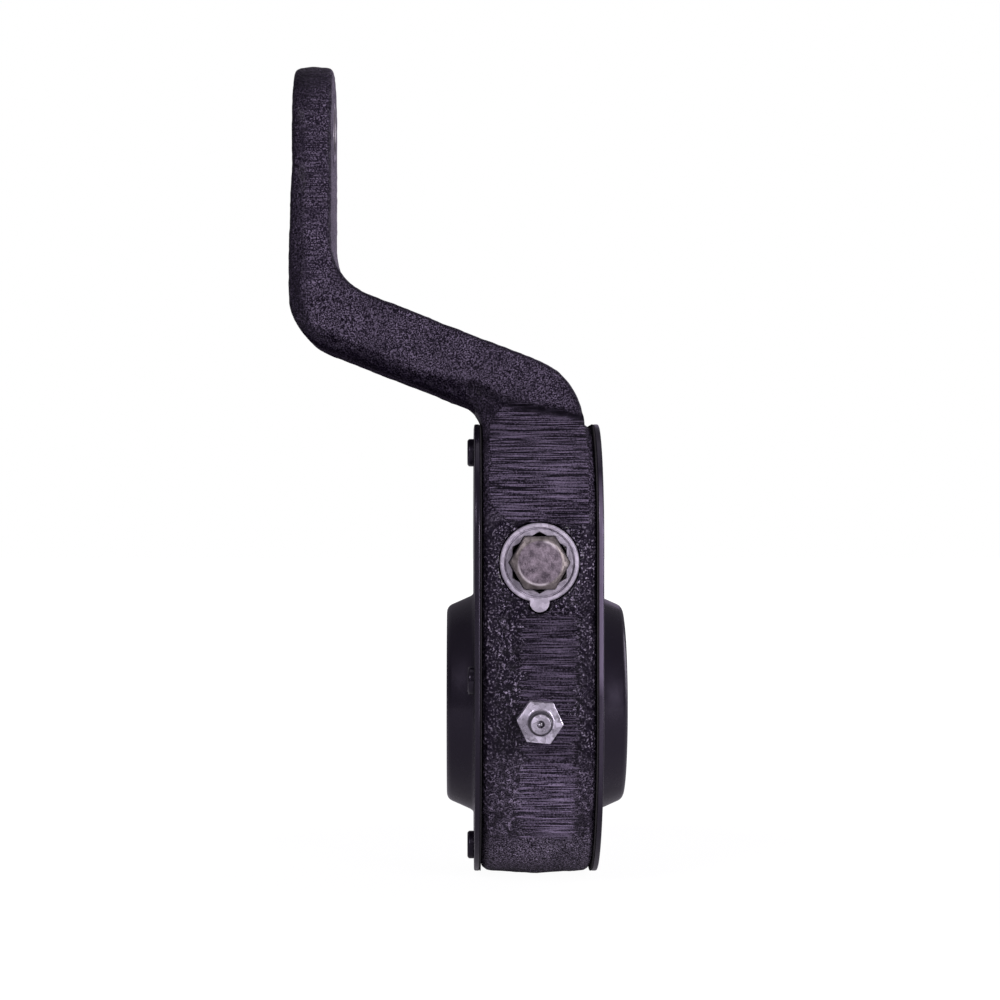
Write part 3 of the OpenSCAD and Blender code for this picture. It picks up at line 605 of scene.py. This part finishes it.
# Gloss: glossier on the case, duller under the arm, on the strokes and on the case's corners
arm_gloss = ramp(tree, clouds, 0.3, 0.7, 0.26, 0.36)
case_gloss = ramp(tree, clouds, 0.3, 0.7, 0.16, 0.26)
under = ramp(tree, facing["Z"], -0.45, -0.85)
duller = between(tree, under, between(tree, case_skin, arm_gloss, case_gloss), 0.60)
matte = between(tree, ground, duller, 0.50)
corner = ramp(tree, maths(tree, "ABSOLUTE", place["X"]), 0.0110, 0.0128)
case_corner = maths(tree, "MULTIPLY", corner, off_arm)
tree.links.new(between(tree, case_corner, matte, 0.55), shader["Roughness"])
bare = maths(tree, "MAXIMUM", maths(tree, "MAXIMUM", under, case_corner), ground)
kept = ramp(tree, case_skin, 0.0, 1.0, 0.12, 1.0)
clear = maths(tree, "SUBTRACT", kept, bare, clamp=True)
coat = ramp(tree, coarse["Pits"], 0.1, 0.7, 0.10, 0.3)
tree.links.new(maths(tree, "MULTIPLY", coat, clear), shader["Coat Weight"])
forging.data.materials.append(material)

# Painted shade: a copy of the enamel with no reflection at all, given to the arm's downward faces so that
# the underside stays dark as in shade
shaded_enamel_copy = material.copy()
shaded_enamel_copy.name = "Enamel without reflection, shaded under the arm"
shaded_enamel_copy.node_tree.nodes["Principled BSDF"].inputs["Specular IOR Level"].default_value = 0.0
forging.data.materials.append(shaded_enamel_copy)
underside, underside_above = -0.45, 0.084
for face in forging.data.polygons:
    if face.normal.z < underside and face.center.z > underside_above:
        face.material_index = 1


# Clevis bush: a hardened steel sleeve pressed into the eye of the arm, turned outside and honed inside,
# left bare with a film of oil. The clevis pin of the brake chamber runs in it.
def edged(node, name, body, width, angle=30.0):
    """A welded copy of a CAD node with its sharp edges broken, riding in the node's place."""
    piece = copied(node, name)
    bpy.ops.object.mode_set(mode="EDIT")
    bpy.ops.mesh.select_all(action="SELECT")
    bpy.ops.mesh.dissolve_limited(angle_limit=math.radians(0.4))
    bpy.ops.object.mode_set(mode="OBJECT")
    bpy.ops.object.shade_smooth()
    broken = piece.modifiers.new("broken edges", "BEVEL")
    broken.width = width
    broken.segments = 2
    broken.limit_method = "ANGLE"
    broken.angle_limit = math.radians(angle)
    broken.use_clamp_overlap = False
    broken.harden_normals = True
    bpy.ops.object.modifier_apply(modifier=broken.name)
    even = piece.modifiers.new("even shading", "WEIGHTED_NORMAL")
    even.mode = "FACE_AREA"
    even.keep_sharp = True
    bpy.ops.object.modifier_apply(modifier=even.name)
    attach(piece, body)
    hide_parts(node)
    return piece


def turning_group():
    """Fine rings left by a lathe, from the distance to the axis."""
    tree, given, out = group_of("Turning marks", {"Radius": 0.0, "Rings": 6000.0}, ["Height"])
    scaled = maths(tree, "MULTIPLY", given["Radius"], given["Rings"])
    rings = add(tree, "TexNoise", {"W": scaled, "Scale": 1.0, "Detail": 3.0}, noise_dimensions="1D")
    tree.links.new(rings.outputs["Fac"], out["Height"])
    return tree


TURNING = turning_group()


def distance_to(tree, at, axis, centre):
    """Distance of each point from an axis through a place."""
    moved = axes(tree, add(tree, "Mapping", {"Vector": at, "Location": [-c for c in centre]}).outputs[0])
    first, second = [moved[name] for name in "XYZ" if name != axis]
    squares = maths(tree, "MULTIPLY_ADD", second, second, maths(tree, "MULTIPLY", first, first))
    return maths(tree, "POWER", squares, 0.5)


def machined(name, colour, dark, axis, centre, rough, rings=6000.0):
    """Bare turned metal: lathe rings, an uneven oil film and rubbed patches."""
    material, tree, shader, at = finish(name, Metallic=1.0)
    marks = use(tree, TURNING, {"Radius": distance_to(tree, at, axis, centre), "Rings": rings})["Height"]
    film = ramp(tree, noise_at(tree, at, 160.0, 4.0, 0.65), 0.32, 0.68)
    tree.links.new(blended(tree, film, dark, colour), shader["Base Color"])
    tree.links.new(ramp(tree, marks, 0.3, 0.7, rough - 0.08, rough + 0.10), shader["Roughness"])
    tree.links.new(bumped(tree, marks, 0.5, 0.00006), shader["Normal"])
    return material


bush = edged("clevis_bush", "pin_bush", "housing", 0.00018)
bush.data.materials.append(machined("Honed bush steel", (0.34, 0.32, 0.34, 1.0), (0.20, 0.185, 0.20, 1.0),
                                    "X", (0.0, 0.0, eye_height), 0.28))


# Fibre gaskets: stamped from compressed dark grey sheet, one under each cover, clamped by the rivets.
# Only their cut edge shows, as a thin dull line between the forging and the sheet.
material, tree, shader, at = finish("Pressed fibre", Roughness=0.92)
fibres = noise_at(tree, at, 2600.0, 3.0)
mottle = maths(tree, "MULTIPLY_ADD", fibres, 0.5, noise_at(tree, at, 220.0, 3.0))
sheet = blended(tree, ramp(tree, mottle, 0.5, 1.0), (0.008, 0.007, 0.009, 1.0), (0.022, 0.019, 0.021, 1.0))
tree.links.new(sheet, shader["Base Color"])
tree.links.new(bumped(tree, fibres, 0.6, 0.00008), shader["Normal"])


def coat_node(node, material):
    """Gives a CAD node that keeps its own mesh a new finish."""
    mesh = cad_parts[node].data
    mesh.materials.clear()
    mesh.materials.append(material)


coat_node("left_gasket", material)
coat_node("right_gasket", material)


# Pressed covers: a flat sheet-steel plate on each side with a drawn cup that holds the hub's seal.
# They are drawn, trimmed and pierced, then painted smooth black, so the sheared edges take a thin highlight.
enamel, tree, shader, at = finish("Smooth black enamel", IOR=1.5, Coat_Roughness=0.10,
                                  Specular_Tint=(0.84, 0.74, 1.0, 1.0))
place = axes(tree, at)
normal = add(tree, "NewGeometry").outputs["Normal"]
drift = noise_at(tree, at, 42.0, 4.0, 0.6)
paint = blended(tree, drift, (0.0040, 0.0030, 0.0058, 1.0), (0.0085, 0.0064, 0.0118, 1.0))
rub = add(tree, "Bevel", {"Radius": 0.0006}, samples=4).outputs[0]
turned = add(tree, "VectorMath", {0: rub, 1: normal}, operation="DOT_PRODUCT").outputs["Value"]
thin = maths(tree, "MULTIPLY", ramp(tree, turned, 0.985, 0.90), drift)
rubbed_paint = blended(tree, thin, paint, (0.050, 0.044, 0.060, 1.0))

# A painted highlight on the sheared front edge of the right plate, down to just above the nipple
sheared = ramp(tree, axes(tree, normal)["Y"], -0.80, -0.97)
on_plate = product(tree, ramp(tree, place["X"], 0.0150, 0.0160), ramp(tree, place["X"], 0.0180, 0.0176))
upper = ramp(tree, place["Z"], 0.0050, 0.0110, 0.20)
painted_edge_highlight = product(tree, sheared, maths(tree, "MULTIPLY", on_plate, upper))
paint_with_edge_highlight = blended(tree, painted_edge_highlight, rubbed_paint, (0.150, 0.125, 0.178, 1.0))
dust = add(tree, "TexVoronoi", {"Vector": at, "Scale": 520.0, "Randomness": 1.0}).outputs["Distance"]
dusty = product(tree, ramp(tree, dust, 0.11, 0.05), ramp(tree, drift, 0.50, 0.70), 0.35)
tree.links.new(blended(tree, dusty, paint_with_edge_highlight, (0.16, 0.15, 0.16, 1.0)), shader["Base Color"])
tree.links.new(ramp(tree, drift, 0.3, 0.7, 0.22, 0.34), shader["Roughness"])
tree.links.new(ramp(tree, drift, 0.35, 0.65, 0.22, 0.08), shader["Coat Weight"])
tree.links.new(bumped(tree, noise_at(tree, at, 700.0, 2.0), 0.35, 0.00005), shader["Normal"])
for side in ("left", "right"):
    cover = edged(side + "_cover", side + "_pressing", "housing", 0.00040)
    cover.data.materials.append(enamel)


# Rivets: four steel rivets through both covers and the case, headed on the left and closed flush on the
# right, driven before painting so that the enamel runs over their heads.
rivets = edged("rivets", "cover_rivets", "housing", 0.00022)
rivets.data.materials.append(enamel)


# Hub seals: moulded rubber rings that are pressed into the cups of the covers and wipe the hub of the wheel.
# They keep the grease in and the dirt out, and nothing of them shows from outside.
material, tree, shader, at = finish("Seal rubber", Roughness=0.62, IOR=1.5)
bloom = noise_at(tree, at, 240.0, 4.0)
rubber = blended(tree, bloom, (0.008, 0.008, 0.009, 1.0), (0.030, 0.029, 0.030, 1.0))
tree.links.new(rubber, shader["Base Color"])
tree.links.new(bumped(tree, noise_at(tree, at, 3000.0, 2.0), 0.4, 0.00004), shader["Normal"])
coat_node("left_seal", material)
coat_node("right_seal", material)


# Worm wheel: a steel gear with a broached ten-spline bore in its long hub. It is turned, its teeth are cut
# at the worm's lead angle, and it is left bare under grease. Its hub ends lie level with the covers' cups.
wheel = edged("worm_wheel", "splined_wheel", "wheel", 0.00022, angle=40.0)
wheel.data.materials.append(machined("Turned gear steel", (0.43, 0.41, 0.42, 1.0), (0.22, 0.205, 0.205, 1.0),
                                     "X", (0.0, 0.0, 0.0), 0.33, 5200.0))


# Worm and its shaft: a right-handed steel worm pressed on a shaft whose front end is the adjusting hexagon.
# The worm is ground and oiled; the hexagon is bare, warm-toned steel with a turned bevel on its face.
worm_axis = (0.0, 0.0, worm_height)
bevel_ring = 0.0059
coat_node("worm", machined("Ground worm steel", (0.45, 0.43, 0.44, 1.0), (0.24, 0.225, 0.225, 1.0), "Y",
                           worm_axis, 0.26))
material, tree, shader, at = finish("Warm bare steel", Metallic=1.0)
far = distance_to(tree, at, "Y", worm_axis)
marks = use(tree, TURNING, {"Radius": far, "Rings": 4200.0})["Height"]
stain = noise_at(tree, at, 420.0, 5.0, 0.7)
share = ramp(tree, stain, 0.34, 0.66)
face = blended(tree, share, (0.095, 0.078, 0.094, 1.0), (0.330, 0.275, 0.318, 1.0))
corners = blended(tree, share, (0.115, 0.100, 0.097, 1.0), (0.290, 0.258, 0.250, 1.0))
steel = blended(tree, ramp(tree, far, bevel_ring - 0.0001, bevel_ring + 0.0002), face, corners)
# A painted highlight in broken arcs along the bevel ring of the face
ring_gap = maths(tree, "ABSOLUTE", maths(tree, "SUBTRACT", far, bevel_ring))
arcs = ramp(tree, noise_at(tree, at, 130.0, 1.0), 0.46, 0.60)
painted_ring_highlight = maths(tree, "MULTIPLY", ramp(tree, ring_gap, 0.00045, 0.0001), arcs)
tree.links.new(blended(tree, painted_ring_highlight, steel, (0.56, 0.51, 0.53, 1.0)), shader["Base Color"])
tree.links.new(ramp(tree, stain, 0.3, 0.7, 0.36, 0.52), shader["Roughness"])
pitted = maths(tree, "MULTIPLY_ADD", marks, 0.4, noise_at(tree, at, 1900.0, 3.0))
tree.links.new(bumped(tree, pitted, 0.55, 0.00012), shader["Normal"])
shaft = edged("worm_shaft", "adjusting_shaft", "worm_set", 0.00022)
shaft.data.materials.append(material)


# Thrust washers and rear bearing: turned bronze rings inside the case. The washers take the worm's push at
# its two ends, and the bearing, pressed into the case, carries the rear journal of the shaft.
bronze = machined("Turned bronze", (0.52, 0.36, 0.17, 1.0), (0.30, 0.19, 0.085, 1.0), "Y", worm_axis, 0.34)
for ring in ("front_thrust_washer", "rear_thrust_washer", "rear_bearing"):
    coat_node(ring, bronze)


# End plug: a shallow cup pressed from sheet steel and driven into the rear of the worm bore.
# It closes the bore against dirt and is painted with the case.
plug = edged("end_plug", "rear_plug", "housing", 0.00025)
plug.data.materials.append(enamel)


# Lock sleeve: a sintered ring around the hexagon with twelve inner points and a half-round key below,
# plated in dull zinc. A spring holds it out, and a wrench on the hexagon presses it in to adjust.
def zinc_finish(name, light, dark, rough, size, metal, dark_ring):
    """Zinc plate: a soft grey spangle with fine pores, a rubbed sheen and a darker ring around Y."""
    material, tree, shader, at = finish(name, Metallic=metal)
    spangle = add(tree, "TexVoronoi", {"Vector": at, "Scale": size, "Randomness": 1.0}).outputs["Color"]
    tone = add(tree, "SeparateColor", {0: spangle}).outputs[0]
    cloud = noise_at(tree, at, size * 0.3, 5.0, 0.7)
    share = ramp(tree, maths(tree, "MULTIPLY_ADD", tone, 0.35, cloud), 0.48, 0.86)
    plate = blended(tree, share, dark, light)
    centre, radius, width, amount = dark_ring
    off = maths(tree, "SUBTRACT", distance_to(tree, at, "Y", centre), radius)
    ring_darkening = ramp(tree, maths(tree, "ABSOLUTE", off), width, width - 0.00025, 0.0, amount)
    tree.links.new(blended(tree, ring_darkening, plate, (0.030, 0.027, 0.034, 1.0)), shader["Base Color"])
    tree.links.new(ramp(tree, cloud, 0.3, 0.7, rough - 0.07, rough + 0.10), shader["Roughness"])
    tree.links.new(bumped(tree, noise_at(tree, at, size * 3.0, 3.0), 0.45, 0.00010), shader["Normal"])
    return material


sleeve = edged("lock_sleeve", "lock_ring", "lock", 0.00016)
sleeve.data.materials.append(zinc_finish("Dull zinc plate", (0.62, 0.575, 0.660, 1.0),
                                         (0.36, 0.330, 0.390, 1.0), 0.50, 900.0, 0.35,
                                         (worm_axis, 0.0082, 0.0011, 0.22)))


# Springs: the lock spring behind the sleeve and the check spring in the nipple, cold-wound from drawn wire.
# Each stands on a seat in the housing and shortens as its sleeve or ball is pressed in.
wire = machined("Drawn spring wire", (0.40, 0.40, 0.41, 1.0), (0.25, 0.25, 0.26, 1.0), "Y", worm_axis, 0.32)


def coil_spring(node, name):
    """A welded copy of a spring, smooth-shaded, given the wire finish and riding with the housing."""
    coil = copied(node, name)
    bpy.ops.object.shade_smooth_by_angle(angle=math.radians(40))
    coil.data.materials.append(wire)
    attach(coil, "housing")
    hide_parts(node)
    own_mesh(coil)


for node, name, joint in (("lock_spring", "lock_coil", "lock_slide"),
                          ("nipple_spring", "check_coil", "ball_check")):
    coil_spring(node, name)


# Grease nipple: a turned and milled hexagon fitting screwed into the case, bright zinc plated,
# with a sprung steel check ball behind the hole in its head.
nipple = edged("nipple_body", "grease_nipple", "housing", 0.00018)
# The dark ring at the radius of the head is painted shade in the groove around it
nipple.data.materials.append(zinc_finish("Bright zinc plate", (0.86, 0.81, 0.93, 1.0),
                                         (0.30, 0.282, 0.324, 1.0), 0.28, 620.0, 0.65,
                                         ((0.0, 0.0, nipple_height), 0.0030, 0.00050, 0.80)))
material, tree, shader, at = finish("Polished ball steel", Metallic=1.0)
haze = noise_at(tree, at, 1500.0, 2.0)
tree.links.new(blended(tree, haze, (0.50, 0.50, 0.51, 1.0), (0.66, 0.66, 0.67, 1.0)), shader["Base Color"])
tree.links.new(ramp(tree, haze, 0.0, 1.0, 0.10, 0.22), shader["Roughness"])
coat_node("nipple_ball", material)


bpy.context.view_layer.update()
